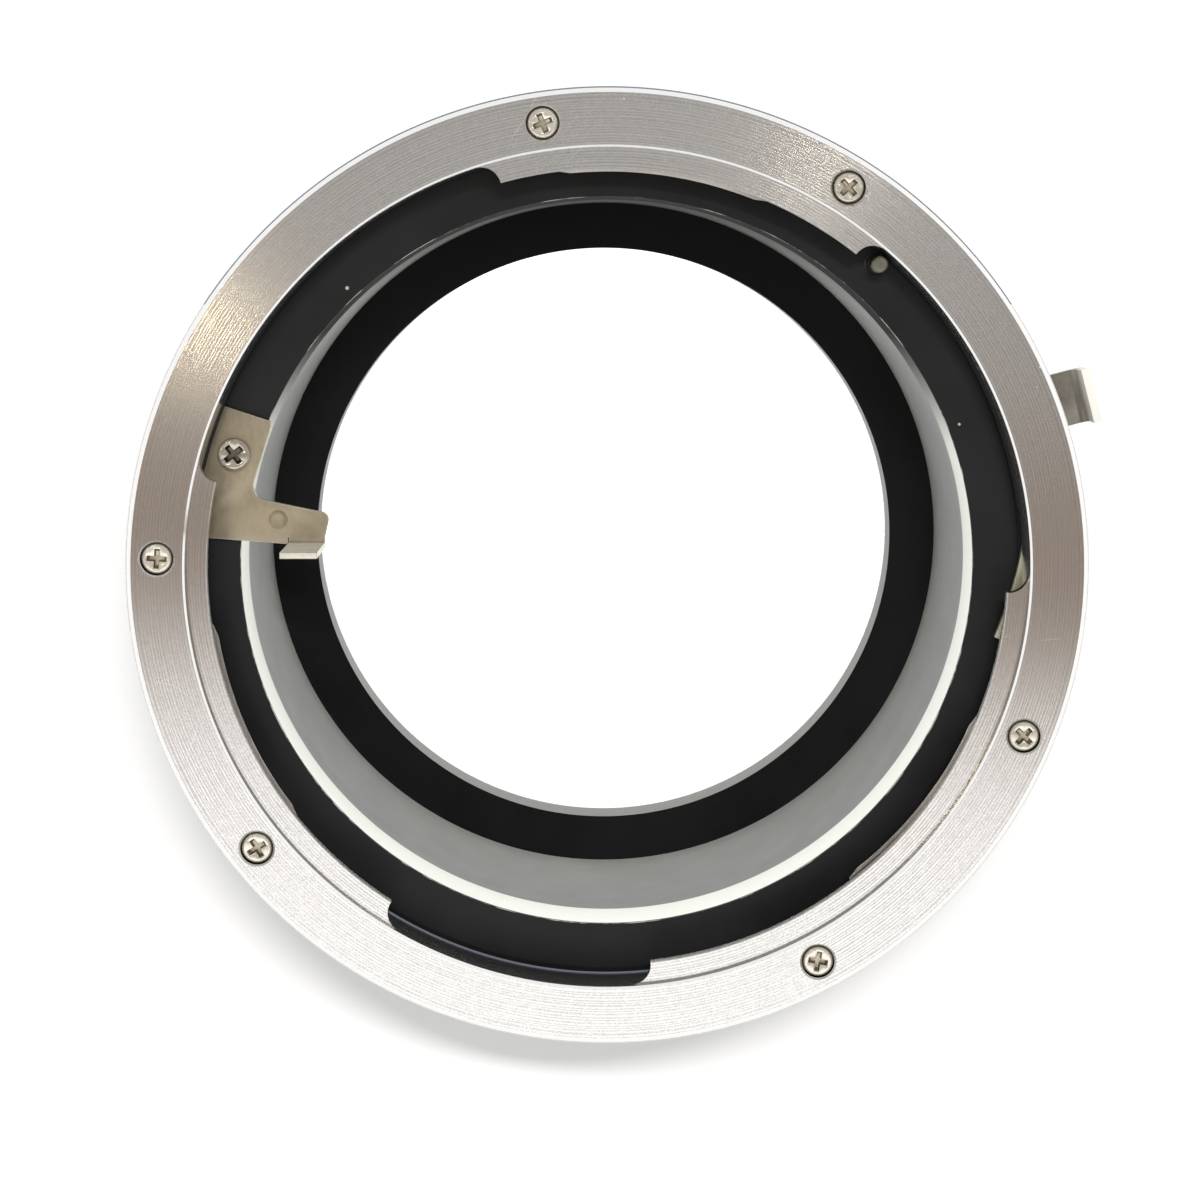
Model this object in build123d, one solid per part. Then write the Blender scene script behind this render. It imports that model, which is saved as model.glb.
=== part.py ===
from build123d import *
import os
from math import cos, radians, sin

# Lens mount adapter: a medium-format lens bayonet on a tube, with a 35 mm camera bayonet behind it.
# The optical axis is +Z. The lens side is up and the camera bayonet stands on z = 0.
# Angles run from +X towards +Y, in degrees. All lengths are in millimetres.

# Stack along the optical axis
register = 26.9
spigot_length = 5.1
lens_face_z = spigot_length + register

# Lens mount ring: a turned ring with three bayonet lugs inside a shallow step
ring_radius = 36.5
ring_thickness = 3.8
ring_chamfer = 0.45
flange_width = 4.5
step_depth = 0.6
step_edge = 0.2
lug_reach = 1.6
lug_thickness = 0.8
lens_gaps = ((105.4, 167.0), (-3.1, 52.2), (236.9, 276.2))
gap_corner = 1.5
step_radius = ring_radius - flange_width
lug_radius = step_radius - lug_reach
ring_rear_z = lens_face_z - ring_thickness
lug_face_z = lens_face_z - step_depth
lug_rear_z = lug_face_z - lug_thickness

# Screws that hold the lens mount ring
lens_screw_inset = 2.4
lens_screw_pair = (58.2, 98.3)
lens_screw_pairs = 3
lens_screw_head = 2.25
lens_screw_head_height = 0.8
lens_screw_thread = 1.4
lens_screw_length = 7.0
lens_screw_sink = 0.1
counterbore_gap = 0.27
lens_screw_circle = ring_radius - lens_screw_inset
lens_screw_angles = [
    first + 360 / lens_screw_pairs * turn for turn in range(lens_screw_pairs) for first in lens_screw_pair
]

# Camera mount ring: flange plate, spigot and three lugs
throat_radius = 24.4
spigot_wall = 1.5
camera_lug_reach = 1.1
camera_flange_width = 6.6
plate_thickness = 1.5
plate_chamfer = 0.25
camera_lug_thickness = 1.3
camera_lug_drop = 2.4
camera_lug_span = 58.0
camera_lug_angles = (80.0, 200.0, 320.0)
spigot_edge = 0.25
lock_hole = 2.4
lock_hole_depth = 1.1
lock_hole_angle = 15.0
spigot_radius = throat_radius + spigot_wall
camera_lug_radius = spigot_radius + camera_lug_reach
plate_radius = spigot_radius + camera_flange_width
plate_top_z = spigot_length + plate_thickness

# Screws that hold the camera mount ring
camera_screw_inset = 2.1
camera_screw_angles = (45.0, 135.0, 225.0, 315.0)
camera_screw_head = 2.6
camera_screw_head_height = 0.8
camera_screw_thread = 1.6
camera_screw_length = 5.0
camera_screw_circle = plate_radius - camera_screw_inset

# Body tube: a black floor behind the lugs, a bare band at the mouth of the bore, and grip grooves
floor_depth = 5.1
floor_width = 3.68
band_length = 3.8
bore_step = 3.8
body_overhang = 0.5
body_neck_length = 3.2
body_cone_length = 6.0
body_edge = 0.2
grip_grooves = 4
grip_pitch = 1.5
grip_groove_depth = 0.35
grip_start = 2.6
floor_z = lens_face_z - floor_depth
band_radius = step_radius - floor_width
bore_radius = throat_radius + bore_step
body_rear_radius = plate_radius + body_overhang

# Fits
seat_gap = 0.02
pivot_gap = 0.06
lever_play = 0.15

# Bayonet leaf springs, spot-welded behind the lugs
spring_tips = (66.5, 187.8, 307.6)
spring_span = 31.0
spring_pad = 9.0
spring_sheet = 0.25
spring_setback = 0.15
spring_width = 1.65
spring_drop = 0.7
spring_corner = 0.6
spring_outer_radius = step_radius - spring_setback
spring_inner_radius = spring_outer_radius - spring_width

# Lens stop pin
stop_pin_setback = 0.95
stop_pin_angle = 48.4
stop_pin_diameter = 1.3
stop_pin_height = 2.8
stop_pin_seat = 2.0
pin_edge = 0.12
stop_pin_circle = step_radius - stop_pin_setback

# Lock lever: a flat pawl that swings about a pivot pin under the lens mount ring
pivot_angle = 9.0
pivot_diameter = 1.1
pivot_seat = 2.0
lock_swing = 12.3
lever_sheet = 0.6
hub_radius = 1.1
arm_setback = 0.9
arm_width = 1.8
arm_tip_angle = -10.6
tab_angle = 20.2
tab_overhang = 0.58
tab_direction = 15.0
tab_width = 4.15
tab_root = 1.7
tab_reach = 2.25
tab_lip = 2.5
tab_bend = 0.8
link_width = 1.4
arm_inner_radius = step_radius + arm_setback
arm_outer_radius = arm_inner_radius + arm_width
pivot_circle = (arm_inner_radius + arm_outer_radius) / 2
lever_z = ring_rear_z - lever_play - lever_sheet

# Pocket for the lock lever in the body's front face, open to the bore and to the tab
hub_play = 0.1
leaf_room = 0.7
tip_room = 1.8
mouth_margin = 1.0
slot_room_below = 4.0
slot_room_above = 5.4
pocket_end_room = 2.9
pocket_inner_radius = pivot_circle - hub_radius - hub_play
pocket_outer_radius = arm_outer_radius + leaf_room
pocket_start = arm_tip_angle - tip_room
mouth_end = pivot_angle - mouth_margin
slot_start = tab_angle - slot_room_below
slot_end = tab_angle + slot_room_above
pocket_end = slot_end + pocket_end_room
pocket_depth = lever_sheet + 2 * lever_play

# Leaf spring that swings the lever inwards: a foot along the pocket's wall and a free end on the arm
leaf_foot_start = 7.0
leaf_foot_end = 1.5
leaf_contact = -8.5
leaf_sheet = 0.2

# Aperture bracket: folded sheet on the floor, with one screw.
# Its places are the distance in from the wall at 180 degrees, then the distance along that wall.
bracket_sheet = 0.5
bracket_setback = 0.2
bracket_top_angle = 157.3
bracket_corner = (6.25, 11.1)
bracket_elbow = (4.39, 5.31)
bracket_arm_end = (10.6, 4.0)
bracket_arm_foot = 1.65
bracket_root_foot = 2.2
bracket_corner_radius = 0.4
bracket_elbow_radius = 1.3
bracket_end_radius = 0.6
finger_inset = 7.4
finger_width = 2.8
finger_edge = 1.3
finger_rise = 2.0
finger_bend = 0.3
finger_flat = 0.1
finger_relief = 0.35
bracket_screw_place = (3.3, 8.66)
bracket_screw_head = 2.5
bracket_screw_head_height = 0.8
bracket_screw_thread = 1.4
bracket_screw_length = 3.6
dimple_place = (6.6, 3.56)
dimple_diameter = 1.55
dimple_depth = 0.12
bracket_outer_radius = step_radius - bracket_setback
finger_top_z = lens_face_z + finger_rise
fold_line = finger_edge + bracket_sheet + finger_bend + finger_flat

# Painted index dots
dot_diameter = 1.8
dot_depth = 0.35
lens_dot_angle = 136.0
lens_dot_drop = 1.25
camera_dot_angle = 80.0

# Cross recess in a screw head, as shares of the head
cross_length = 0.56
cross_width = 0.17
cross_depth = 0.55
head_round = 0.3

# Room that a cutter runs past the face it opens on
overrun = 0.5


def polar(radius, angle):
    """The point at a radius and an angle about the optical axis."""
    return (radius * cos(radians(angle)), radius * sin(radians(angle)))


def from_wall(place):
    """A place on the bracket, moved in from the body's wall at 180 degrees."""
    return (place[0] - step_radius, place[1])


def sector(inner, outer, start, end):
    """A flat ring sector between two radii and two angles."""
    span = end - start
    return make_face([
        CenterArc((0, 0), outer, start, span).edge(),
        Line(polar(outer, end), polar(inner, end)).edge(),
        CenterArc((0, 0), inner, end, -span).edge(),
        Line(polar(inner, start), polar(outer, start)).edge(),
    ])


def turned(profile):
    """A solid of revolution about the optical axis from (radius, z) points."""
    points = [(radius, 0, z) for radius, z in profile]
    return revolve(make_face(Polyline(*points, close=True).edges()), Axis.Z)


def slab(face, low, high):
    """A flat face drawn at z = 0, raised between two heights."""
    return Pos(0, 0, low) * extrude(face, high - low)


def post(radius, low, high, place=(0, 0)):
    """An upright cylinder between two heights."""
    return Pos(place[0], place[1], low) * Cylinder(
        radius, high - low, align=(Align.CENTER, Align.CENTER, Align.MIN)
    )


def screw(head, head_height, thread, length):
    """A cross-recessed screw, its head's top at z = 0 and its shank pointing down."""
    rounding = head_round * head_height
    solid = post(head / 2, -head_height, 0)
    solid = fillet(solid.edges().group_by(Axis.Z)[-1], rounding)
    solid += post(thread / 2, -length, -head_height)
    recess = cross_depth * head_height
    for turn in (0, 90):
        arm = Box(cross_length * head, cross_width * head, 2 * recess)
        solid -= Rot(0, 0, turn) * arm
    return solid


def screw_hole(head, head_height, sink, thread, length):
    """The counterbore and tapped hole for a screw whose seat face is at z = 0."""
    counterbore = post(head / 2 + counterbore_gap, -head_height - sink, overrun)
    return counterbore + post(thread / 2 + seat_gap, -length - sink - overrun, overrun)


def lens_screw_places():
    """Where the screws of the lens mount ring stand, on its front face."""
    for angle in lens_screw_angles:
        yield Pos(*polar(lens_screw_circle, angle), lens_face_z) * Rot(0, 0, angle)


def camera_screw_places():
    """Where the screws of the camera mount ring stand, heads down on its rear face."""
    for angle in camera_screw_angles:
        yield Pos(*polar(camera_screw_circle, angle), spigot_length) * Rot(180, 0, angle)


def lens_screw_cutter():
    return screw_hole(
        lens_screw_head, lens_screw_head_height, lens_screw_sink, lens_screw_thread, lens_screw_length
    )


def camera_screw_cutter():
    return screw_hole(
        camera_screw_head, camera_screw_head_height, 0, camera_screw_thread, camera_screw_length
    )


def lens_gap(start, end):
    """One opening between two lens lugs, with the cutter's round in its outer corners."""
    face = sector(lug_radius - overrun, step_radius, start, end)
    outer_corners = face.vertices().sort_by(lambda v: v.X**2 + v.Y**2)[-2:]
    return slab(fillet(outer_corners, gap_corner), lug_rear_z, lug_face_z)


def lens_mount_ring():
    ring = turned([
        (step_radius, ring_rear_z),
        (ring_radius, ring_rear_z),
        (ring_radius, lens_face_z - ring_chamfer),
        (ring_radius - ring_chamfer, lens_face_z),
        (step_radius + step_edge, lens_face_z),
        (step_radius, lens_face_z - step_edge),
        (step_radius, lug_face_z),
        (lug_radius, lug_face_z),
        (lug_radius, lug_rear_z),
        (step_radius, lug_rear_z),
    ])
    for start, end in lens_gaps:
        ring -= lens_gap(start, end)
    for place in lens_screw_places():
        ring -= place * lens_screw_cutter()
    return ring


def lens_mount_screws():
    one = screw(lens_screw_head, lens_screw_head_height, lens_screw_thread, lens_screw_length)
    return [place * Pos(0, 0, -lens_screw_sink) * one for place in lens_screw_places()]


def index_dot(angle, radius, z, grow=0.0):
    """A disc of paint let into the body's side, its flat outside just under the surface."""
    outward = Plane(origin=(*polar(radius, angle), z), z_dir=(*polar(1, angle), 0))
    disc = Cylinder(dot_diameter / 2 + grow, dot_depth, align=(Align.CENTER, Align.CENTER, Align.MAX))
    return outward * disc


def lens_index_dot(grow=0.0):
    z = ring_rear_z - lens_dot_drop
    return index_dot(lens_dot_angle, ring_radius - seat_gap * 2, z, grow)


def camera_index_dot(grow=0.0):
    z = plate_top_z + body_neck_length / 2
    return index_dot(camera_dot_angle, body_rear_radius - seat_gap * 2, z, grow)


def dot_recess(dot, angle):
    """A dot's recess: the dot with its seat gap, opened outwards through the surface."""
    direction = (*polar(1, angle), 0)
    return dot + Pos(*[overrun * part for part in direction]) * dot


def lever_room():
    """The pocket in the body's front face that the lock lever and its spring lie in."""
    low = ring_rear_z - pocket_depth
    high = ring_rear_z + overrun
    inside = step_radius - overrun
    pocket = slab(sector(pocket_inner_radius, pocket_outer_radius, pocket_start, pocket_end), low, high)
    mouth = slab(sector(inside, pocket_inner_radius + overrun, pocket_start, mouth_end), low, high)
    opening = sector(pocket_outer_radius - overrun, ring_radius + overrun, slot_start, slot_end)
    return pocket + mouth + slab(opening, low, high)


def grip_cut(index):
    """One shallow V groove round the body's front band."""
    middle = ring_rear_z - grip_start - index * grip_pitch
    half = grip_groove_depth
    return turned([
        (ring_radius - grip_groove_depth, middle),
        (ring_radius + overrun, middle - half - overrun),
        (ring_radius + overrun, middle + half + overrun),
    ])


def adapter_body():
    neck_z = plate_top_z + body_neck_length
    shoulder_z = neck_z + body_cone_length
    body = turned([
        (bore_radius, plate_top_z),
        (body_rear_radius - body_edge, plate_top_z),
        (body_rear_radius, plate_top_z + body_edge),
        (body_rear_radius, neck_z),
        (ring_radius, shoulder_z),
        (ring_radius, ring_rear_z - body_edge),
        (ring_radius - body_edge, ring_rear_z),
        (step_radius, ring_rear_z),
        (step_radius, floor_z),
        (band_radius, floor_z),
        (band_radius, floor_z - band_length),
        (bore_radius, floor_z - band_length),
    ])
    for index in range(1, 1 + grip_grooves):
        body -= grip_cut(index)
    body -= lever_room()
    for place in lens_screw_places():
        body -= place * lens_screw_cutter()
    for place in camera_screw_places():
        body -= place * camera_screw_cutter()
    body -= post(
        stop_pin_diameter / 2 + seat_gap, floor_z - stop_pin_seat, floor_z + overrun,
        polar(stop_pin_circle, stop_pin_angle),
    )
    pocket_floor_z = ring_rear_z - pocket_depth
    body -= post(
        pivot_diameter / 2 + seat_gap, pocket_floor_z - pivot_seat, ring_rear_z,
        polar(pivot_circle, pivot_angle),
    )
    screw_end_z = floor_z + bracket_sheet + bracket_screw_head_height - bracket_screw_length
    body -= post(
        bracket_screw_thread / 2 + seat_gap, screw_end_z - overrun, floor_z + overrun,
        from_wall(bracket_screw_place),
    )
    body -= dot_recess(lens_index_dot(seat_gap), lens_dot_angle)
    body -= dot_recess(camera_index_dot(seat_gap), camera_dot_angle)
    return body


def camera_mount_ring():
    ring = turned([
        (throat_radius, 0),
        (spigot_radius - spigot_edge, 0),
        (spigot_radius, spigot_edge),
        (spigot_radius, spigot_length),
        (plate_radius - plate_chamfer, spigot_length),
        (plate_radius, spigot_length + plate_chamfer),
        (plate_radius, plate_top_z),
        (throat_radius, plate_top_z),
    ])
    lug_high = spigot_length - camera_lug_drop
    for middle in camera_lug_angles:
        start = middle - camera_lug_span / 2
        face = sector(spigot_radius - overrun, camera_lug_radius, start, start + camera_lug_span)
        ring += slab(face, lug_high - camera_lug_thickness, lug_high)
    for place in camera_screw_places():
        ring -= place * camera_screw_cutter()
    ring -= post(
        lock_hole / 2, spigot_length - overrun, spigot_length + lock_hole_depth,
        polar(camera_screw_circle, lock_hole_angle),
    )
    return ring


def camera_mount_screws():
    one = screw(camera_screw_head, camera_screw_head_height, camera_screw_thread, camera_screw_length)
    return [place * one for place in camera_screw_places()]


def bayonet_spring(tip):
    """A leaf spring: a flat pad against a lug's rear face and an arm that leans to the rear."""
    middle_angle = tip + spring_span / 2
    middle_radius = (spring_inner_radius + spring_outer_radius) / 2
    half = middle_radius * radians(spring_span / 2) + overrun
    knee = middle_radius * radians(spring_span / 2 - spring_pad)
    side = Plane(
        origin=(*polar(middle_radius, middle_angle), lug_rear_z),
        x_dir=(*polar(1, middle_angle + 90), 0),
        z_dir=(*polar(1, middle_angle), 0),
    )
    section = make_face(Polyline(
        (half, 0),
        (knee, 0),
        (-half, -spring_drop),
        (-half, -spring_drop - spring_sheet),
        (knee, -spring_sheet),
        (half, -spring_sheet),
        close=True,
    ).edges())
    strip = extrude(side * section, spring_outer_radius - spring_inner_radius, both=True)
    blank = sector(spring_inner_radius, spring_outer_radius, tip, tip + spring_span)
    blank = fillet(blank.vertices(), spring_corner)
    return strip & slab(blank, lug_rear_z - 2 * spring_drop - spring_sheet, lug_rear_z + overrun)


def lens_stop_pin():
    pin = post(
        stop_pin_diameter / 2, floor_z - stop_pin_seat, floor_z + stop_pin_height,
        polar(stop_pin_circle, stop_pin_angle),
    )
    return chamfer(pin.edges().group_by(Axis.Z)[-1], pin_edge)


def lock_pivot_pin():
    low = ring_rear_z - pocket_depth - pivot_seat
    pin = post(pivot_diameter / 2, low, ring_rear_z - seat_gap, polar(pivot_circle, pivot_angle))
    return chamfer(pin.edges().group_by(Axis.Z)[-1], pin_edge)


def at_rest():
    """The turn about the pivot that takes the lever from released to locked."""
    x, y = polar(pivot_circle, pivot_angle)
    return Pos(x, y) * Rot(0, 0, -lock_swing) * Pos(-x, -y)


def tab_centre():
    """Where the thumb tab leaves the body."""
    return polar(ring_radius + tab_overhang, tab_angle)


def tab_frame():
    """The plane through the tab's middle: x along the tab outwards, z across it."""
    return Plane(
        origin=(*tab_centre(), lever_z),
        x_dir=(*polar(1, tab_direction), 0),
        z_dir=(*polar(1, tab_direction - 90), 0),
    )


def lock_lever_tab():
    """The thumb tab: a flat tongue whose outer end is folded towards the lens."""
    section = make_face(Polyline(
        (-tab_root, 0),
        (tab_reach, 0),
        (tab_reach, lever_sheet + tab_lip),
        (tab_reach - lever_sheet, lever_sheet + tab_lip),
        (tab_reach - lever_sheet, lever_sheet),
        (-tab_root, lever_sheet),
        close=True,
    ).edges())
    corners = section.vertices()
    outer_corner = corners.sort_by_distance((tab_reach, 0))[0]
    section = fillet(outer_corner, tab_bend + lever_sheet)
    inner_corner = section.vertices().sort_by_distance((tab_reach - lever_sheet, lever_sheet))[0]
    section = fillet(inner_corner, tab_bend)
    return extrude(tab_frame() * section, tab_width / 2, both=True)


def lock_lever_blank():
    """The lever's flat outline at rest: arm, hub and the link up to the tab."""
    arm = at_rest() * sector(arm_inner_radius, arm_outer_radius, arm_tip_angle, pivot_angle)
    pivot = polar(pivot_circle, pivot_angle)
    outward = polar(1, tab_direction)
    across = polar(1, tab_direction + 90)
    centre = tab_centre()
    root = [centre[i] - tab_root * outward[i] for i in (0, 1)]
    low = [root[i] - across[i] * tab_width / 2 for i in (0, 1)]
    high = [root[i] + across[i] * tab_width / 2 for i in (0, 1)]
    link = make_face(Polyline(
        (pivot[0] + link_width / 2, pivot[1]),
        (low[0], low[1]),
        (low[0] + overrun * outward[0], low[1] + overrun * outward[1]),
        (high[0] + overrun * outward[0], high[1] + overrun * outward[1]),
        (high[0], high[1]),
        (pivot[0] - link_width / 2, pivot[1] + link_width),
        (pivot[0] - link_width / 2, pivot[1]),
        close=True,
    ).edges())
    hub = Pos(*pivot) * Circle(hub_radius)
    return arm + hub + link - Pos(*pivot) * Circle(pivot_diameter / 2 + pivot_gap)


def lock_lever():
    return slab(lock_lever_blank(), lever_z, lever_z + lever_sheet) + lock_lever_tab()


def lock_spring():
    """A leaf whose foot lies along the pocket's outer wall and whose free end bears on the arm."""
    outer = pocket_outer_radius - seat_gap
    inner = outer - leaf_sheet
    foot_span = leaf_foot_start - leaf_foot_end
    near, far = [
        (at_rest() * Pos(*polar(arm_outer_radius + seat_gap + lift, leaf_contact))).position
        for lift in (0, leaf_sheet)
    ]
    face = make_face([
        CenterArc((0, 0), outer, leaf_foot_end, foot_span).edge(),
        Line(polar(outer, leaf_foot_start), polar(inner, leaf_foot_start)).edge(),
        CenterArc((0, 0), inner, leaf_foot_start, -foot_span).edge(),
        Line(polar(inner, leaf_foot_end), near).edge(),
        Line(near, far).edge(),
        Line(far, polar(outer, leaf_foot_end)).edge(),
    ])
    return slab(face, lever_z, lever_z + lever_sheet)


def aperture_bracket_blank():
    """The bracket's flat outline: a foot under the wall and an arm over the bore."""
    foot_x = -(bracket_outer_radius**2 - bracket_root_foot**2) ** 0.5
    top = polar(bracket_outer_radius, bracket_top_angle)
    finger_left = finger_inset - step_radius
    middle = polar(bracket_outer_radius, (bracket_top_angle + 180) / 2)
    face = make_face([
        *Polyline(
            top,
            from_wall(bracket_corner),
            from_wall(bracket_elbow),
            from_wall(bracket_arm_end),
            (finger_left + finger_width, fold_line),
            (finger_left - finger_relief, fold_line),
            (finger_left - finger_relief, bracket_arm_foot),
            (foot_x, bracket_root_foot),
        ).edges(),
        ThreePointArc((foot_x, bracket_root_foot), middle, top).edge(),
    ])
    rounds = (
        (bracket_corner, bracket_corner_radius),
        (bracket_elbow, bracket_elbow_radius),
        (bracket_arm_end, bracket_end_radius),
    )
    for place, radius in rounds:
        face = fillet(face.vertices().sort_by_distance(from_wall(place))[0], radius)
    return face - Pos(*from_wall(bracket_screw_place)) * Circle(bracket_screw_thread / 2 + pivot_gap)


def aperture_bracket_finger():
    """The finger folded up from the arm's lower edge."""
    side = Plane(origin=(finger_inset - step_radius, 0, floor_z), x_dir=(0, 1, 0), z_dir=(1, 0, 0))
    height = finger_top_z - floor_z
    section = make_face(Polyline(
        (fold_line, 0),
        (finger_edge, 0),
        (finger_edge, height),
        (finger_edge + bracket_sheet, height),
        (finger_edge + bracket_sheet, bracket_sheet),
        (fold_line, bracket_sheet),
        close=True,
    ).edges())
    outer = section.vertices().sort_by_distance((finger_edge, 0))[0]
    section = fillet(outer, finger_bend + bracket_sheet)
    inner = section.vertices().sort_by_distance((finger_edge + bracket_sheet, bracket_sheet))[0]
    section = fillet(inner, finger_bend)
    return extrude(side * section, finger_width)


def aperture_bracket():
    bracket = slab(aperture_bracket_blank(), floor_z, floor_z + bracket_sheet) + aperture_bracket_finger()
    top = floor_z + bracket_sheet
    return bracket - post(dimple_diameter / 2, top - dimple_depth, top + overrun, from_wall(dimple_place))


def aperture_bracket_screw():
    head_top = floor_z + bracket_sheet + bracket_screw_head_height
    one = screw(bracket_screw_head, bracket_screw_head_height, bracket_screw_thread, bracket_screw_length)
    return Pos(*from_wall(bracket_screw_place), head_top) * one


nodes = {
    "adapter_body": adapter_body(),
    "lens_mount_ring": lens_mount_ring(),
    "lens_mount_screws": lens_mount_screws(),
    "lens_stop_pin": lens_stop_pin(),
    "lock_lever": lock_lever(),
    "lock_pivot_pin": lock_pivot_pin(),
    "lock_spring": lock_spring(),
    "aperture_bracket": aperture_bracket(),
    "aperture_bracket_screw": aperture_bracket_screw(),
    "camera_mount_ring": camera_mount_ring(),
    "camera_mount_screws": camera_mount_screws(),
    "lens_index_dot": lens_index_dot(),
    "camera_index_dot": camera_index_dot(),
}
for number, tip in enumerate(spring_tips, start=1):
    nodes[f"bayonet_spring_{number}"] = bayonet_spring(tip)

os.makedirs("parts", exist_ok=True)
for name, shape in nodes.items():
    solids = shape if isinstance(shape, list) else [shape]
    separate = [solid for piece in solids for solid in piece.solids()]
    export_step(Compound(children=separate) if len(separate) > 1 else separate[0], f"parts/{name}.step")
    print(name, len(separate), [round(solid.volume, 2) for solid in separate])
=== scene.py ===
# %% [markdown]
# # Dressing a lens mount adapter
# The adapter is a short black tube. A bright turned ring with three bayonet lugs takes the lens at
# the top, and a smaller bayonet at the bottom goes on the camera. The solids are already the right
# size, so this lesson is about what the eye reads on such a thing: turned rings in the metal, thin
# bright edges, satin black paint, nickel screws and dust.

# %% Load the solids
from math import asin, atan2, cos, degrees, pi, radians, sin

import bmesh
import bpy
from mathutils import Matrix, Vector


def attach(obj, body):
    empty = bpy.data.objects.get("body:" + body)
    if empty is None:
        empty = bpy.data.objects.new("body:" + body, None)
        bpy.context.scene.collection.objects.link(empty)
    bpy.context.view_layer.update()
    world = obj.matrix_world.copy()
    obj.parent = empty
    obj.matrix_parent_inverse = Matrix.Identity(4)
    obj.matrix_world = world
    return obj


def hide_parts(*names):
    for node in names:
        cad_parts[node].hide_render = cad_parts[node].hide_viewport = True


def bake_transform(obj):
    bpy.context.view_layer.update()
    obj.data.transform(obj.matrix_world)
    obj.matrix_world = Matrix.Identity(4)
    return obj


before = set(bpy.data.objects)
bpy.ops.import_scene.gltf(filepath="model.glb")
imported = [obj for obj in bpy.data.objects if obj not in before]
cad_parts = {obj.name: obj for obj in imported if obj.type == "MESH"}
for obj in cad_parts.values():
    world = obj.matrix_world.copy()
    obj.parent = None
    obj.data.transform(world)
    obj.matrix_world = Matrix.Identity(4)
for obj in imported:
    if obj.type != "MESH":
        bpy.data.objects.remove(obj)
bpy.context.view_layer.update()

print("solids:", sorted(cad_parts))

# %% [markdown]
# ## Small helpers for working as by hand
# Most of this object was made on a lathe, so most pieces start as an outline that is drawn vertex by
# vertex and then spun. The helpers below only wrap operators: draw an outline, spin it, cut with
# another shape, soften the edges. A cylinder could be cut and scaled into the same forms, but an outline
# shows the whole section at once. Sizes are written in millimetres and turned into metres here.

# %% Helpers: selecting
MM = 0.001


def rest_selection():
    """Leave edit mode and select nothing."""
    if bpy.context.object and bpy.context.object.mode != "OBJECT":
        bpy.ops.object.mode_set(mode="OBJECT")
    bpy.ops.object.select_all(action="DESELECT")


def hold(piece):
    """Select one piece alone and make it active."""
    rest_selection()
    piece.select_set(True)
    bpy.context.view_layer.objects.active = piece
    return piece


def pick(piece, kind, test):
    """In edit mode, select the edges or faces whose middle passes the test (in mm)."""
    bpy.context.tool_settings.mesh_select_mode = (False, kind == "EDGE", kind == "FACE")
    bpy.ops.mesh.select_all(action="DESELECT")
    shape = bmesh.from_edit_mesh(piece.data)
    if kind == "EDGE":
        found = [e for e in shape.edges if test((e.verts[0].co + e.verts[1].co) / 2 / MM)]
    else:
        found = [f for f in shape.faces if test(f.calc_center_median() / MM)]
    for part in found:
        part.select = True
    shape.select_flush_mode()
    bmesh.update_edit_mesh(piece.data)
    return len(found)


def zone(inner, outer, low, high):
    """A test for places between two radii and two heights."""
    return lambda p: inner < p.xy.length < outer and low < p.z < high


print("selection helpers ready")

# %% Helpers: drawing
DOUBLES = 0.002


def draw(name, points):
    """Draw a closed outline through points in mm, by extruding one vertex from place to place."""
    rest_selection()
    bpy.context.tool_settings.mesh_select_mode = (True, False, False)
    bpy.ops.mesh.primitive_plane_add(size=MM)
    piece = bpy.context.object
    piece.name = piece.data.name = name
    bpy.ops.object.mode_set(mode="EDIT")
    bpy.ops.mesh.select_all(action="SELECT")
    bpy.ops.mesh.merge(type="CENTER")
    here = Vector((0, 0, 0))
    for number, point in enumerate(points):
        step = Vector(point) * MM - here
        if number == 0:
            bpy.ops.transform.translate(value=step)
        else:
            bpy.ops.mesh.extrude_region_move(TRANSFORM_OT_translate={"value": step})
        here += step
    ends = bmesh.from_edit_mesh(piece.data)
    ends.verts.ensure_lookup_table()
    ends.verts[0].select = True
    ends.select_flush_mode()
    bmesh.update_edit_mesh(piece.data)
    bpy.ops.mesh.edge_face_add()
    return piece


def clean_up(piece):
    """Merge doubled vertices, close open ends and point the faces outwards."""
    bpy.ops.mesh.select_all(action="SELECT")
    bpy.ops.mesh.remove_doubles(threshold=DOUBLES * MM)
    bpy.ops.mesh.fill_holes(sides=0)
    bpy.ops.mesh.select_all(action="SELECT")
    bpy.ops.mesh.normals_make_consistent(inside=False)
    bpy.ops.object.mode_set(mode="OBJECT")
    return piece


def around(radius, angle):
    """The point at a radius and an angle round the optical axis."""
    return radius * cos(radians(angle)), radius * sin(radians(angle))


def arc(radius, start, end, steps, middle=(0, 0)):
    """Points along an arc about a middle."""
    turns = [start + (end - start) * number / steps for number in range(steps + 1)]
    return [
        (middle[0] + around(radius, turn)[0], middle[1] + around(radius, turn)[1]) for turn in turns
    ]


def spot(radius, angle, height):
    """The move that takes a shape from the origin to a place round the optical axis."""
    return Matrix.Translation(Vector((*around(radius, angle), height)) * MM)


print("drawing helpers ready")

# %% Helpers: turning, raising and cutting
LATHE_STEPS = 256


def turned(name, outline, start=0.0, sweep=360.0):
    """Draw an outline of (radius, height) pairs and spin it clockwise round the optical axis."""
    piece = draw(name, [(*around(radius, start), height) for radius, height in outline])
    bpy.ops.mesh.select_all(action="SELECT")
    steps = max(4, round(LATHE_STEPS * sweep / 360))
    bpy.ops.mesh.spin(steps=steps, angle=radians(sweep), center=(0, 0, 0), axis=(0, 0, 1))
    return clean_up(piece)


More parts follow.
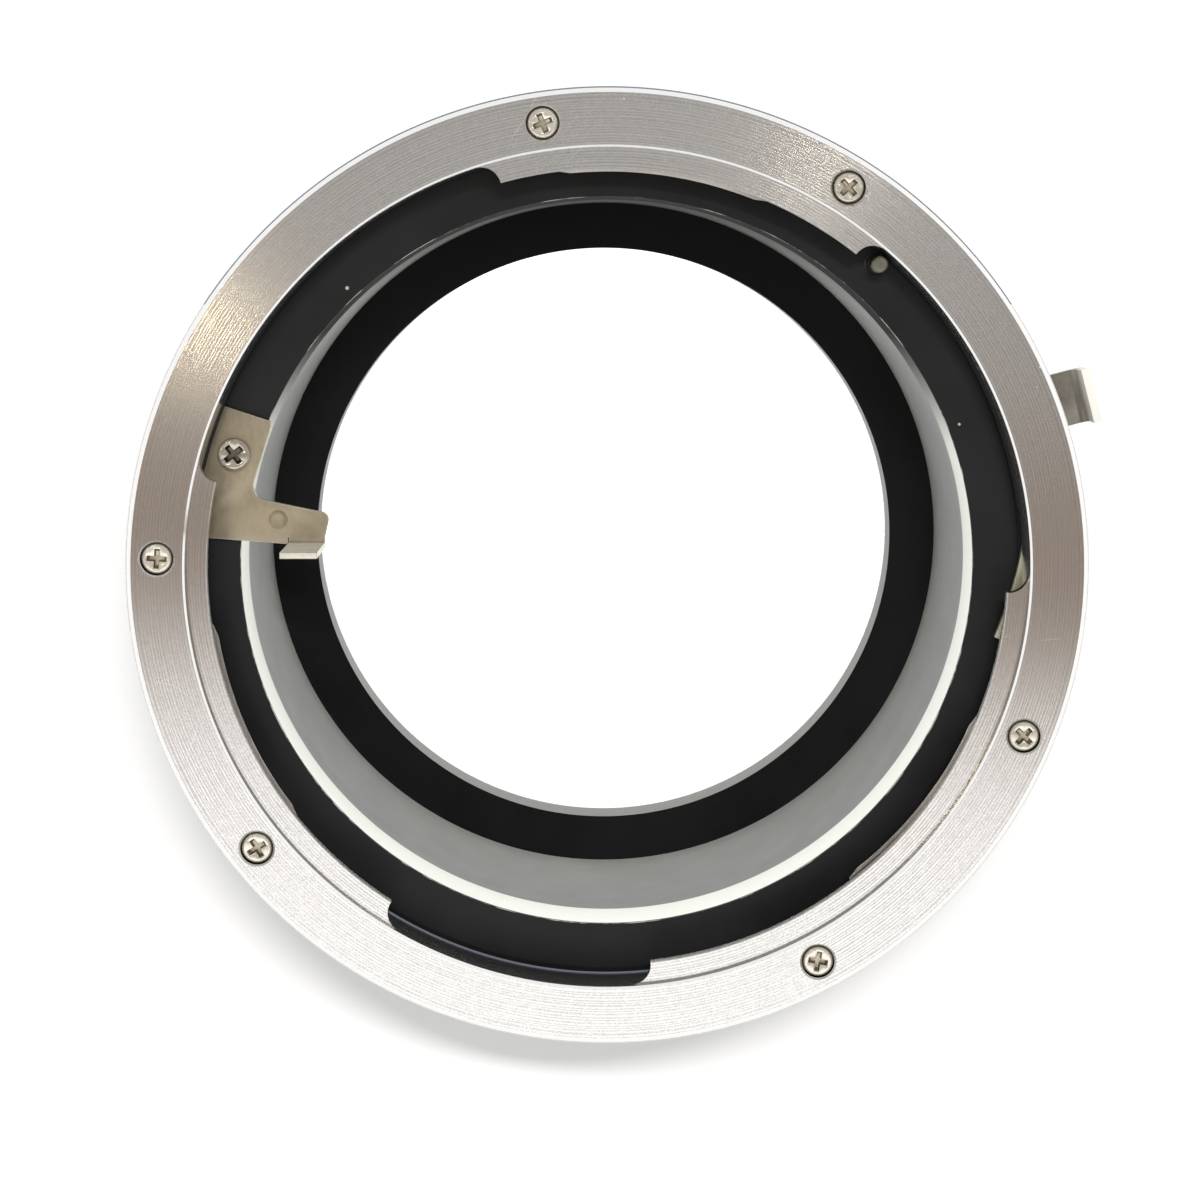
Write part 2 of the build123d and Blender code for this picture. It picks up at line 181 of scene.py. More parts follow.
def raised(name, outline, low, high):
    """Draw a flat outline at one height, fill it and extrude it to another."""
    piece = draw(name, [(x, y, low) for x, y in outline])
    bpy.ops.mesh.select_all(action="SELECT")
    bpy.ops.mesh.edge_face_add()
    rise = (0, 0, (high - low) * MM)
    bpy.ops.mesh.extrude_region_move(TRANSFORM_OT_translate={"value": rise})
    return clean_up(piece)


def apply(piece, kind, **settings):
    """Add one modifier with these settings and apply it."""
    hold(piece)
    step = piece.modifiers.new(kind.lower(), kind)
    for key, value in settings.items():
        setattr(step, key, value)
    bpy.ops.object.modifier_apply(modifier=step.name)
    return piece


def cut(piece, cutter):
    """Take the cutter's shape out of the piece, and throw the cutter away."""
    apply(piece, "BOOLEAN", operation="DIFFERENCE", solver="EXACT", object=cutter)
    bpy.data.objects.remove(cutter)
    return piece


def weld(piece, other):
    """Join another closed shape onto the piece, and throw the other away."""
    apply(piece, "BOOLEAN", operation="UNION", solver="EXACT", object=other)
    bpy.data.objects.remove(other)
    return piece


print("shaping helpers ready")

# %% Helpers: softening, copying and seating
SLIVERS = 0.004


def smooth(piece, angle=24):
    """Shade level faces smooth and keep the real edges."""
    hold(piece)
    bpy.ops.object.shade_smooth_by_angle(angle=radians(angle))
    return piece


def soften(piece, width, angle=35, edge_slot=-1):
    """Break the sharp edges by a small bevel, in a finish of its own if one is given, and smooth."""
    hold(piece)
    bpy.ops.object.mode_set(mode="EDIT")
    bpy.ops.mesh.select_all(action="SELECT")
    bpy.ops.mesh.remove_doubles(threshold=SLIVERS * MM)
    bpy.ops.object.mode_set(mode="OBJECT")
    apply(
        piece, "BEVEL", width=width * MM, segments=2, limit_method="ANGLE", material=edge_slot,
        angle_limit=radians(angle), use_clamp_overlap=True, miter_outer="MITER_ARC",
    )
    return smooth(piece)


def copies(piece, name, places):
    """Copies of a piece, each with its own mesh, placed by matrices and joined into one object."""
    made = []
    for matrix in places:
        twin = piece.copy()
        twin.data = piece.data.copy()
        bpy.context.scene.collection.objects.link(twin)
        twin.data.transform(matrix)
        made.append(twin)
    bpy.data.objects.remove(piece)
    rest_selection()
    for twin in made:
        twin.select_set(True)
    bpy.context.view_layer.objects.active = made[0]
    bpy.ops.object.join()
    made[0].name = made[0].data.name = name
    return made[0]


def seat(piece, body, slot, *nodes):
    """Let a finished piece ride on its body and stand for its solids."""
    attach(piece, body)
    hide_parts(*nodes)
    triangles = sum(len(face.vertices) - 2 for face in piece.data.polygons)
    print(f"{piece.name}: {triangles} triangles for {', '.join(nodes)}")
    return piece


print("finishing helpers ready")

# %% [markdown]
# ## Materials from nodes
# Every finish is a small tree of nodes: noise, distances and ramps that end in one shader. Painted
# pictures could carry the same wear, but nodes stay sharp close up. They read Object coordinates, so a
# pattern stays on its piece when the piece moves. Two short classes keep the trees readable: one adds
# nodes to any tree, and the other starts a material with them.

# %% Helper: nodes
MIX_FIRST, MIX_SECOND, MIX_RESULT = 6, 7, 2


class Nodes:
    """Short ways to add nodes to a tree."""

    def __init__(self, tree):
        self.tree = tree

    def node(self, kind, links=None, **settings):
        made = self.tree.nodes.new("ShaderNode" + kind)
        for key, value in settings.items():
            if key.startswith("in_"):
                made.inputs[key[3:].replace("_", " ")].default_value = value
            else:
                setattr(made, key, value)
        for key, output in (links or {}).items():
            self.tree.links.new(output, made.inputs[key])
        return made

    def sums(self, operation, first, second=None):
        made = self.node("Math", operation=operation)
        for socket, value in zip(made.inputs, (first, second)):
            if isinstance(value, (int, float)):
                socket.default_value = value
            elif value is not None:
                self.tree.links.new(value, socket)
        return made.outputs[0]

    def span(self, value, low, high, to_low=0, to_high=1, ease="LINEAR"):
        made = self.node("MapRange", {"Value": value}, interpolation_type=ease)
        ends = {"From Min": low, "From Max": high, "To Min": to_low, "To Max": to_high}
        for key, number in ends.items():
            made.inputs[key].default_value = number
        return made.outputs["Result"]

    def mix(self, factor, first, second):
        made = self.node("Mix", {"Factor": factor}, data_type="RGBA")
        for number, value in ((MIX_FIRST, first), (MIX_SECOND, second)):
            if isinstance(value, tuple):
                made.inputs[number].default_value = (*value, 1)
            else:
                self.tree.links.new(value, made.inputs[number])
        return made.outputs[MIX_RESULT]

    def seen_rays(self):
        """1 for rays from the camera, from reflections and through glass, and 0 for light."""
        paths = self.node("LightPath").outputs
        seen = self.sums("MAXIMUM", paths["Is Camera Ray"], paths["Is Glossy Ray"])
        return self.sums("MAXIMUM", seen, paths["Is Transmission Ray"])


print("node helper ready")


# %% Helper: a finish
class Finish(Nodes):
    """A material with a Principled shader."""

    def __init__(self, name, colour, **inputs):
        self.material = bpy.data.materials.new(name)
        self.material.use_nodes = True
        super().__init__(self.material.node_tree)
        self.shader = self.tree.nodes["Principled BSDF"]
        self.shader.inputs["Base Color"].default_value = (*colour, 1)
        self.material.diffuse_color = (*colour, 1)
        for key, value in inputs.items():
            self.shader.inputs[key.replace("_", " ")].default_value = value
        self.place = self.node("TexCoord").outputs["Object"]

    def noise(self, scale, detail=3.0, rough=0.55, stretch=(1, 1, 1)):
        turn = self.node("Mapping", {"Vector": self.place}, in_Scale=stretch)
        made = self.node(
            "TexNoise", {"Vector": turn.outputs[0]}, in_Scale=scale, in_Detail=detail, in_Roughness=rough)
        return made.outputs["Fac"]

    def along(self, axis):
        return self.node("SeparateXYZ", {0: self.place}).outputs[axis]

    def radius(self):
        flat = self.node("VectorMath", {0: self.place}, operation="MULTIPLY")
        flat.inputs[1].default_value = (1, 1, 0)
        return self.node("VectorMath", {0: flat.outputs[0]}, operation="LENGTH").outputs["Value"]

    def specks(self, scale, small, large):
        """Spots in scattered cells, and a chance for each cell."""
        cells = self.node("TexVoronoi", {"Vector": self.place}, in_Scale=scale)
        chance = self.node("SeparateColor", {0: cells.outputs["Color"]}).outputs
        size = self.span(chance[1], 0, 1, small, large)
        return self.sums("LESS_THAN", cells.outputs["Distance"], size), chance[0]

    def now(self, socket):
        """What a socket of the shader is linked to so far."""
        return self.shader.inputs[socket].links[0].from_socket

    def paint(self, socket, output):
        self.tree.links.new(output, self.shader.inputs[socket])
        return self

    def bump(self, height, distance, strength):
        made = self.node("Bump", {"Height": height}, in_Strength=strength, in_Distance=distance * MM)
        return self.paint("Normal", made.outputs["Normal"])


print("finish helper ready")


# %% Helpers: wearing a finish
def wear(piece, *finishes):
    """Give a piece these finishes, in this order of slots."""
    piece.data.materials.clear()
    for finish in finishes:
        piece.data.materials.append(finish.material)
    return piece


def finish_faces(piece, slot, test):
    """Give the faces whose middle passes the test another of the piece's finishes."""
    hold(piece)
    bpy.ops.object.mode_set(mode="EDIT")
    count = pick(piece, "FACE", test)
    piece.active_material_index = slot
    bpy.ops.object.material_slot_assign()
    bpy.ops.object.mode_set(mode="OBJECT")
    return count


print("wearing helpers ready")

# %% [markdown]
# ## Turned chrome
# A turned face is not one colour. The tool leaves a spiral of fine lines, each a little lighter or
# darker, and the lines spread a reflection outwards along the radius. So the chrome here takes its
# lines from the distance to the axis, and it is anisotropic about that axis. Relief alone would vanish
# from afar, so the tone follows the lines too. Hairline scratches and dust make it a used thing.


# %% Turned metal
def lathe_lines(finish, pitch):
    """Fine rings round the axis, with an uneven pitch and patches where they are faint."""
    passes = finish.sums("MULTIPLY", finish.radius(), 1 / (pitch * MM))
    drift = finish.node(
        "TexNoise", {"W": passes}, noise_dimensions="1D", in_Scale=0.45, in_Detail=2.0)
    phase = finish.sums("ADD", passes, finish.sums("MULTIPLY", drift.outputs["Fac"], 1.1))
    lines = finish.sums("SINE", finish.sums("MULTIPLY", phase, 2 * pi))
    return finish.sums("MULTIPLY", lines, finish.span(finish.noise(150), 0.35, 0.65, 0.35, 1.0))


def handling_marks(finish):
    """Hairline scratches and specks of dust."""
    hairline = finish.sums("ABSOLUTE", finish.sums("SUBTRACT", finish.noise(75, 1.0), 0.5))
    hairline = finish.sums("LESS_THAN", hairline, 0.0011)
    some = finish.sums("GREATER_THAN", finish.noise(130, 1.0), 0.56)
    scratch = finish.sums("MULTIPLY", finish.sums("MULTIPLY", hairline, some), 0.35)
    spots, chance = finish.specks(900.0, 0.02, 0.05)
    dust = finish.sums("MULTIPLY", spots, finish.span(chance, 0.30, 0.24, 0, 0.8))
    return finish.sums("MAXIMUM", scratch, dust)


def turned_metal(name, dark, light, rough, spread, pitch, depth, marked=False):
    """Metal with lathe lines: tone, gloss and relief all follow the distance to the axis."""
    finish = Finish(
        name, light, Metallic=1.0, Roughness=rough, Anisotropic=spread, Anisotropic_Rotation=0.25)
    lines = lathe_lines(finish, pitch)
    grain = finish.span(finish.noise(6500, 2.0, 0.7), 0.3, 0.7, -1, 1)
    cloud = finish.span(finish.noise(1600, 4.0, 0.7), 0.3, 0.7, -1, 1)
    skin = finish.sums(
        "ADD", finish.sums("MULTIPLY", grain, 1.1), finish.sums("MULTIPLY", cloud, 0.45))
    tone = finish.sums("ADD", finish.sums("MULTIPLY", lines, 1.25), skin)
    tone = finish.span(tone, -1.5, 1.5)
    finish.paint("Base Color", finish.mix(tone, dark, light))
    finish.paint("Roughness", finish.span(tone, 0, 1, rough * 1.15, rough * 0.88))
    if marked:
        marks = handling_marks(finish)
        finish.paint("Base Color", finish.mix(marks, finish.now("Base Color"), (1.0, 1.0, 0.98)))
        finish.paint("Metallic", finish.span(marks, 0, 1, 1.0, 0.15))
    finish.paint("Tangent", finish.node("Tangent", direction_type="RADIAL", axis="Z").outputs[0])
    relief = finish.sums("ADD", lines, finish.sums("MULTIPLY", grain, 0.1))
    return finish.bump(finish.span(relief, -1.3, 1.3), depth, 0.5)


lens_chrome = turned_metal(
    "turned_chrome", (0.59, 0.57, 0.545), (0.84, 0.83, 0.81),
    rough=0.20, spread=0.75, pitch=0.22, depth=0.005, marked=True)
camera_chrome = turned_metal(
    "camera_chrome", (0.58, 0.57, 0.55), (0.78, 0.77, 0.75),
    rough=0.30, spread=0.8, pitch=0.35, depth=0.004)
bright_edge = turned_metal(
    "bright_edge", (0.93, 0.93, 0.92), (0.97, 0.97, 0.96),
    rough=0.14, spread=0.0, pitch=0.4, depth=0.0005)
smooth_wall = turned_metal(
    "smooth_wall", (0.72, 0.71, 0.69), (0.82, 0.81, 0.79),
    rough=0.20, spread=0.0, pitch=0.4, depth=0.0005)
print("turned finishes:", lens_chrome.material.name, camera_chrome.material.name)

# %% The bare band, with painted shade on its far side
BAND_ROUGH = 0.32
bare_band = turned_metal(
    "bare_band", (0.60, 0.61, 0.56), (0.66, 0.67, 0.615),
    rough=BAND_ROUGH, spread=0.0, pitch=0.5, depth=0.0005)
# Painted shade: towards its far side (+Y) the band turns black, rough and unmetallic.
far_side_shade = bare_band.span(bare_band.along("Y"), 8 * MM, 18 * MM)
bare_band.paint("Base Color", bare_band.mix(far_side_shade, bare_band.now("Base Color"), (0.03, 0.03, 0.03)))
bare_band.paint("Metallic", bare_band.span(far_side_shade, 0, 1, 1, 0))
bare_band.paint("Roughness", bare_band.span(far_side_shade, 0, 1, BAND_ROUGH, 0.9))
bare_band.paint("Specular IOR Level", bare_band.span(far_side_shade, 0, 1, 0.5, 0.2))
print("band finish:", bare_band.material.name)

# %% [markdown]
# ## Satin black
# The body's black is anodised: a very dark colour with a satin gloss and a very fine grain, on which
# dust shows at once. One flat black would look like a hole, so a cloudy tone and a fine relief break it
# up. In the bore the grey is painted sheen; deep down it is paler as painted light, and on the far side
# it is darker as painted shade, so there the colour follows the height and the side.


# %% Black and satin finishes
def black_paint(name, colour, rough, gloss, dust=0.0):
    """Satin paint with a fine skin, a little cloudiness and specks of dust."""
    finish = Finish(name, colour, Roughness=rough, Specular_IOR_Level=gloss)
    cloud = finish.noise(120, 4.0)
    lighter = tuple(value * 1.5 + 0.002 for value in colour)
    finish.paint("Base Color", finish.mix(finish.span(cloud, 0.35, 0.7), colour, lighter))
    finish.paint("Roughness", finish.span(cloud, 0.3, 0.7, rough * 0.9, rough * 1.12))
    if dust:
        spots, chance = finish.specks(700.0, 0.03, 0.11)
        dusty = finish.sums("MULTIPLY", spots, finish.sums("LESS_THAN", chance, dust))
        finish.paint("Base Color", finish.mix(dusty, finish.now("Base Color"), (0.48, 0.48, 0.46)))
    return finish.bump(finish.noise(9000, 2.0), 0.003, 0.35)


satin_black = black_paint("black_anodised", (0.0105, 0.0105, 0.011), rough=0.42, gloss=0.24, dust=0.05)
throat_black = black_paint("throat_black", (0.006, 0.006, 0.0064), rough=0.5, gloss=0.14)
# The throat's grey stands in for the grazing sheen of black paint: painted sheen.
throat_painted_sheen = black_paint("throat_painted_sheen", (0.20, 0.205, 0.196), rough=0.5, gloss=0.28)
print("black finishes:", satin_black.material.name, throat_black.material.name)

# %% The bore, grey with painted sheen, painted light and painted shade
BORE_ROUGH = 0.42
# The bore's grey stands in for the grazing sheen of its black coat: painted sheen.
bore_painted_sheen_light_shade = Finish("bore_painted_sheen_light_shade", (0.24, 0.245, 0.24), Roughness=BORE_ROUGH, Specular_IOR_Level=0.7)
# Painted light: the colour grows paler towards the rear of the bore.
painted_light_depth = bore_painted_sheen_light_shade.sums("POWER", bore_painted_sheen_light_shade.span(bore_painted_sheen_light_shade.along("Z"), 22 * MM, 6.6 * MM), 1.3)
mottle = bore_painted_sheen_light_shade.span(bore_painted_sheen_light_shade.noise(300, 4.0), 0.3, 0.7, -0.05, 0.05)
tone_and_painted_light = bore_painted_sheen_light_shade.mix(
    bore_painted_sheen_light_shade.sums("ADD", painted_light_depth, mottle), (0.185, 0.195, 0.187), (0.76, 0.78, 0.745))
# Painted shade: darker and rougher on the far side, towards +Y.
shade = bore_painted_sheen_light_shade.span(bore_painted_sheen_light_shade.along("Y"), 19 * MM, 28 * MM)
bore_painted_sheen_light_shade.paint("Base Color", bore_painted_sheen_light_shade.mix(shade, tone_and_painted_light, (0.08, 0.08, 0.08)))
bore_painted_sheen_light_shade.paint("Roughness", bore_painted_sheen_light_shade.span(shade, 0, 1, BORE_ROUGH, 0.9))
bore_painted_sheen_light_shade.bump(bore_painted_sheen_light_shade.noise(5000, 2.0), 0.002, 0.3)
print("bore finish:", bore_painted_sheen_light_shade.material.name)

# %% [markdown]
# ## Nickel, steel and enamel
# The small parts are plated. Plating is never even: it has soft blotches and the fine lines of the
# rolled sheet below it. One grey metal could serve for all, but wear and painted light tell the parts
# apart: worn edges and rubbed faces are paler and less like a mirror, partly from wear and partly as
# painted highlight, so they have a finish of their own.


# %% Plated sheet
def sheet_metal(name, dark, light, rough, metallic=1.0, grain=(1, 1, 1)):
    """Plated sheet: soft blotches, fine rolling lines and a grainy skin."""
    finish = Finish(name, light, Metallic=metallic, Roughness=rough)
    rolled = finish.noise(2600, stretch=grain)
    blotch = finish.sums("MULTIPLY", finish.noise(260, 4.0), 0.6)
    pattern = finish.sums("ADD", blotch, finish.sums("MULTIPLY", rolled, 0.4))
    finish.paint("Base Color", finish.mix(finish.span(pattern, 0.36, 0.64), dark, light))
    finish.paint("Roughness", finish.span(rolled, 0.3, 0.7, rough * 0.85, rough * 1.2))
    return finish.bump(rolled, 0.004, 0.4)


nickel_screw = sheet_metal("nickel_screw", (0.66, 0.62, 0.51), (0.88, 0.85, 0.75), 0.24, 0.78)
dull_nickel = sheet_metal("dull_nickel", (0.40, 0.36, 0.30), (0.66, 0.62, 0.54), 0.2, 0.85)
# Screw recesses: a darker copy of the plating, as painted shade.
recess_painted_shade = sheet_metal("recess_painted_shade", (0.42, 0.38, 0.29), (0.66, 0.61, 0.50), 0.34)
pin_nickel = sheet_metal("pin_nickel", (0.20, 0.20, 0.16), (0.30, 0.30, 0.25), 0.36)
nickel_sheet = sheet_metal(
    "nickel_sheet", (0.40, 0.34, 0.24), (0.55, 0.475, 0.345), 0.44, 0.7, grain=(1, 0.5, 1))
# The finger is a paler, less metallic copy of the sheet's plating: painted light.
finger_painted_light = sheet_metal("finger_painted_light", (0.74, 0.71, 0.58), (0.95, 0.93, 0.82), 0.38, 0.35)
# Paler, less metallic edges: partly wear, partly a painted highlight.
worn_edge_and_highlight = sheet_metal("worn_edge_and_highlight", (0.40, 0.37, 0.29), (0.86, 0.84, 0.74), 0.38, 0.5)
spring_steel = sheet_metal(
    "spring_steel", (0.32, 0.30, 0.27), (0.50, 0.48, 0.44), 0.34, grain=(1, 0.2, 1))
# The counterbores' flares: a darker copy of the chrome, as painted shade.
flare_painted_shade = sheet_metal("flare_painted_shade", (0.40, 0.39, 0.37), (0.70, 0.68, 0.64), 0.26)
# Painted shade for the counterbore walls and the bracket screw's recess.
dark_painted_shade = sheet_metal("dark_painted_shade", (0.13, 0.11, 0.09), (0.26, 0.23, 0.19), 0.4)
print("plated finishes:", nickel_screw.material.name, nickel_sheet.material.name)

# %% The lever's plating, rubbed and with a painted highlight on the lip, and painted light on the inner arm
lever_nickel = sheet_metal("lever_nickel", (0.20, 0.18, 0.155), (0.33, 0.305, 0.265), 0.36)
# Painted light: the inner arm, nearer the axis, is painted paler.
inside = lever_nickel.span(lever_nickel.radius(), 34.8 * MM, 35.4 * MM, 1, 0)
plating = lever_nickel.mix(inside, lever_nickel.now("Base Color"), (0.62, 0.61, 0.47))
# The lip is rubbed, and its near-white, unmetallic colour is also a painted highlight.
lip_rub_and_highlight = lever_nickel.span(lever_nickel.along("Z"), 28.1 * MM, 29.0 * MM)
lever_nickel.paint("Base Color", lever_nickel.mix(lip_rub_and_highlight, plating, (0.96, 0.95, 0.86)))
lever_nickel.paint("Metallic", lever_nickel.span(lip_rub_and_highlight, 0, 1, 0.85, 0.0))
print("lever finish:", lever_nickel.material.name)

# %% Shaded rim, worn line and enamel
LINE_BLACK = (0.02, 0.02, 0.02)
rim_shade = Finish("rim_shade", (0.20, 0.22, 0.27), Roughness=0.4, Metallic=0.6)
worn_line = Finish("worn_line", LINE_BLACK, Roughness=0.35)
rubbed = worn_line.span(worn_line.noise(300, 4.0, 0.7), 0.50, 0.60)
worn_line.paint("Base Color", worn_line.mix(rubbed, LINE_BLACK, (0.62, 0.62, 0.60)))
enamel = Finish("index_enamel", (0.55, 0.025, 0.02), Roughness=0.3)
uneven = enamel.span(enamel.noise(1500), 0.3, 0.7)
enamel.paint("Base Color", enamel.mix(uneven, (0.46, 0.02, 0.016), (0.60, 0.03, 0.024)))
enamel.bump(enamel.noise(2500), 0.01, 0.3)
print("finishes made:", len(bpy.data.materials))

# %% [markdown]
# ## The lens mount ring
# One lathe outline gives the flange, its outer chamfer, the step and the thin lug shelf. Three gaps
# are then milled through the shelf; their outer corners are round because the milling cutter is.
# Spinning the outline and cutting it is how the real ring is made, so the edges come out right.

# %% The ring's outline
FACE = 32.0
RING_REAR = 28.2
RING_RADIUS = 36.5
STEP_RADIUS = 32.0
LUG_RADIUS = 30.4
LUG_FRONT = FACE - 0.6
LUG_REAR = FACE - 1.4
CHAMFER = 0.45
RIM = 0.11
STEP_EDGE = 0.16
FINE_EDGE = 0.06
REAR_EDGE = 0.04
ring = turned("lens_ring", [
    (STEP_RADIUS, RING_REAR), (RING_RADIUS - FINE_EDGE, RING_REAR),
    (RING_RADIUS, RING_REAR + FINE_EDGE), (RING_RADIUS, FACE - CHAMFER),
    (RING_RADIUS - RIM, FACE - CHAMFER + RIM), (RING_RADIUS - CHAMFER, FACE),
    (STEP_RADIUS + STEP_EDGE, FACE), (STEP_RADIUS, FACE - STEP_EDGE),
    (STEP_RADIUS, LUG_FRONT), (LUG_RADIUS + FINE_EDGE, LUG_FRONT),
    (LUG_RADIUS, LUG_FRONT - FINE_EDGE), (LUG_RADIUS, LUG_REAR + REAR_EDGE),
    (LUG_RADIUS + REAR_EDGE, LUG_REAR), (STEP_RADIUS, LUG_REAR),
])
print("ring outline spun:", len(ring.data.polygons), "faces")

# %% The gaps between the lugs
LENS_GAPS = ((105.4, 167.0), (-3.1, 52.2), (236.9, 276.2))
CUTTER = 1.5
GAP_INNER = 29.6
CUTTER_STEPS = 10


def gap_outline(start, end):
    """A gap up to the step's wall, with the milling cutter's round in its two outer corners."""
    path = STEP_RADIUS - CUTTER
    lead = degrees(asin(CUTTER / path))
    first = arc(CUTTER, start - 90, start + lead, CUTTER_STEPS, around(path, start + lead))
    wall = arc(STEP_RADIUS, start + lead, end - lead, round(end - start))
    last = arc(CUTTER, end - lead, end + 90, CUTTER_STEPS, around(path, end - lead))
    return first + wall[1:-1] + last + arc(GAP_INNER, end, start, round(end - start))


for start, end in LENS_GAPS:
    cut(ring, raised("gap", gap_outline(start, end), LUG_REAR - 0.4, LUG_FRONT + 0.1))
print("gaps milled:", len(LENS_GAPS))

# %% The counterbores for its six screws
LENS_SCREWS = [first + 120 * turn for turn in range(3) for first in (58.2, 98.3)]
LENS_SCREW_CIRCLE = 34.1
LENS_BORE = 1.27
LENS_BORE_DEPTH = 0.9
LENS_BORE_FLARE = 0.13


def counterbore(radius, depth, flare=0.04):
    """A round cutter with a flared top, so that the hole's rim is broken and catches light."""
    return turned("counterbore", [
        (0.0, -depth), (radius, -depth), (radius, -flare), (radius + 2 * flare, flare), (0.0, flare),
    ])


for angle in LENS_SCREWS:
    bore = counterbore(LENS_BORE, LENS_BORE_DEPTH, LENS_BORE_FLARE)
    bore.data.transform(spot(LENS_SCREW_CIRCLE, angle, FACE))
    cut(ring, bore)
smooth(ring)
print("counterbores:", len(LENS_SCREWS))

# %% The ring's finishes
# The slots are: 0 lathe lines, 1 edges, 2 inner wall, 3 shaded rim, 4 counterbores in painted shade, 5
# their flares, darker as painted shade.
SHADED_SIDE = 20
wear(ring, lens_chrome, bright_edge, smooth_wall, rim_shade, dark_painted_shade, flare_painted_shade)
edges = finish_faces(ring, 1, zone(0, STEP_RADIUS + 0.3, FACE - 0.33, FACE - 0.005))
edges += finish_faces(ring, 1, zone(RING_RADIUS - 0.6, 40, FACE - 0.33, FACE - 0.005))
wall = finish_faces(
    ring, 2, zone(STEP_RADIUS - 0.1, STEP_RADIUS + 0.02, RING_REAR + 0.13, FACE - 0.39))
on_rim = zone(RING_RADIUS - 0.2, 40, FACE - 0.44, FACE - 0.35)
rim = finish_faces(ring, 3, lambda p: on_rim(p) and p.y > SHADED_SIDE)
nearest, farthest = LENS_SCREW_CIRCLE - 1.5, LENS_SCREW_CIRCLE + 1.5
# Painted shade: the counterbore walls are dark, and their flares darker than the chrome.
flares = finish_faces(ring, 5, zone(nearest, farthest, FACE - 0.14, FACE - 0.01))
shaded = finish_faces(ring, 4, zone(nearest, farthest, FACE - 0.95, FACE - 0.16))
print("bright edge:", edges, "inner wall:", wall, "rim:", rim, "counterbores:", flares + shaded)
seat(ring, "adapter", "turned_chrome", "lens_mount_ring")

# %% [markdown]
# ## The body tube
# Behind the ring the tube has a black floor, then a bare bright band where the bore starts, then the
# bore, whose grey is painted sheen. The band opens a little towards the lens, so that it mirrors the
# light below; its far side is darkened as painted shade. It could be painted by height in one material,
# but here its faces get another finish, so that the border between bright and black is a real edge of the
# mesh.

# %% The tube's outline
FLOOR = 26.9
PLATE_TOP = 6.6
FLOOR_WALL = 31.9
MOUTH_RADIUS = 28.38
BORE_RADIUS = 28.2
BAND_END = FLOOR - 3.8
NECK_RADIUS = 33.0
NECK_TOP = PLATE_TOP + 3.2
CONE_TOP = PLATE_TOP + 9.2
BODY_EDGE = 0.2
LEDGE = 0.1
GROOVES, GROOVE_PITCH, GROOVE_DEPTH, GROOVE_START = 4, 1.5, 0.35, 2.6
grooves = []
for number in range(GROOVES, 0, -1):
    middle = RING_REAR - GROOVE_START - GROOVE_PITCH * number
    grooves += [
        (RING_RADIUS, middle - GROOVE_DEPTH), (RING_RADIUS - GROOVE_DEPTH, middle),
        (RING_RADIUS, middle + GROOVE_DEPTH),
    ]
tube = turned("body_tube", [
    (BORE_RADIUS, PLATE_TOP), (NECK_RADIUS - BODY_EDGE, PLATE_TOP),
    (NECK_RADIUS, PLATE_TOP + BODY_EDGE), (NECK_RADIUS, NECK_TOP), (RING_RADIUS, CONE_TOP),
    *grooves, (RING_RADIUS, RING_REAR - BODY_EDGE), (RING_RADIUS - BODY_EDGE, RING_REAR),
    (STEP_RADIUS, RING_REAR), (FLOOR_WALL, RING_REAR - LEDGE), (FLOOR_WALL, FLOOR),
    (MOUTH_RADIUS + 0.04, FLOOR), (MOUTH_RADIUS, FLOOR - 0.04), (MOUTH_RADIUS, FLOOR - 0.25),
    (BORE_RADIUS, BAND_END),
])
print("tube outline spun:", len(tube.data.polygons), "faces")

# %% The lock lever's pocket, its mouth towards the bore and the slot for its tab
LEVER_SPACES = ((32.6, 35.4, -12.4, 28.5), (31.5, 33.1, -12.4, 8.0), (34.9, 37.0, 16.2, 25.6))
POCKET_DEPTH = 0.9
for inner, outer, start, end in LEVER_SPACES:
    steps = round(end - start)
    sector = arc(outer, start, end, steps) + arc(inner, end, start, steps)
    cut(tube, raised("pocket", sector, RING_REAR - POCKET_DEPTH, RING_REAR + 0.5))
print("lever spaces cut:", len(LEVER_SPACES))

# %% The stop pin's seat and the recesses of the index dots
PIN_CIRCLE, PIN_ANGLE = 31.05, 48.4
DOTS = ((136.0, 36.47, 26.95), (80.0, 32.97, 8.2))
DOT_RADIUS, DOT_DEPTH = 0.92, 0.8


def drilled(radius, depth, reach, angle, height):
    """A round cutter lying along the radius."""
    rest_selection()
    bpy.ops.mesh.primitive_cylinder_add(vertices=48, radius=radius * MM, depth=depth * MM)
    cutter = bpy.context.object
    turn = Matrix.Rotation(radians(angle), 4, "Z") @ Matrix.Rotation(pi / 2, 4, "Y")
    cutter.data.transform(spot(reach, angle, height) @ turn)
    return cutter


pin_seat = counterbore(radius=0.80, depth=0.12, flare=0.05)
pin_seat.data.transform(spot(PIN_CIRCLE, PIN_ANGLE, FLOOR))
cut(tube, pin_seat)
for angle, reach, height in DOTS:
    cut(tube, drilled(DOT_RADIUS, DOT_DEPTH, reach, angle, height))
smooth(tube)
print("pin seat and dot recesses cut")

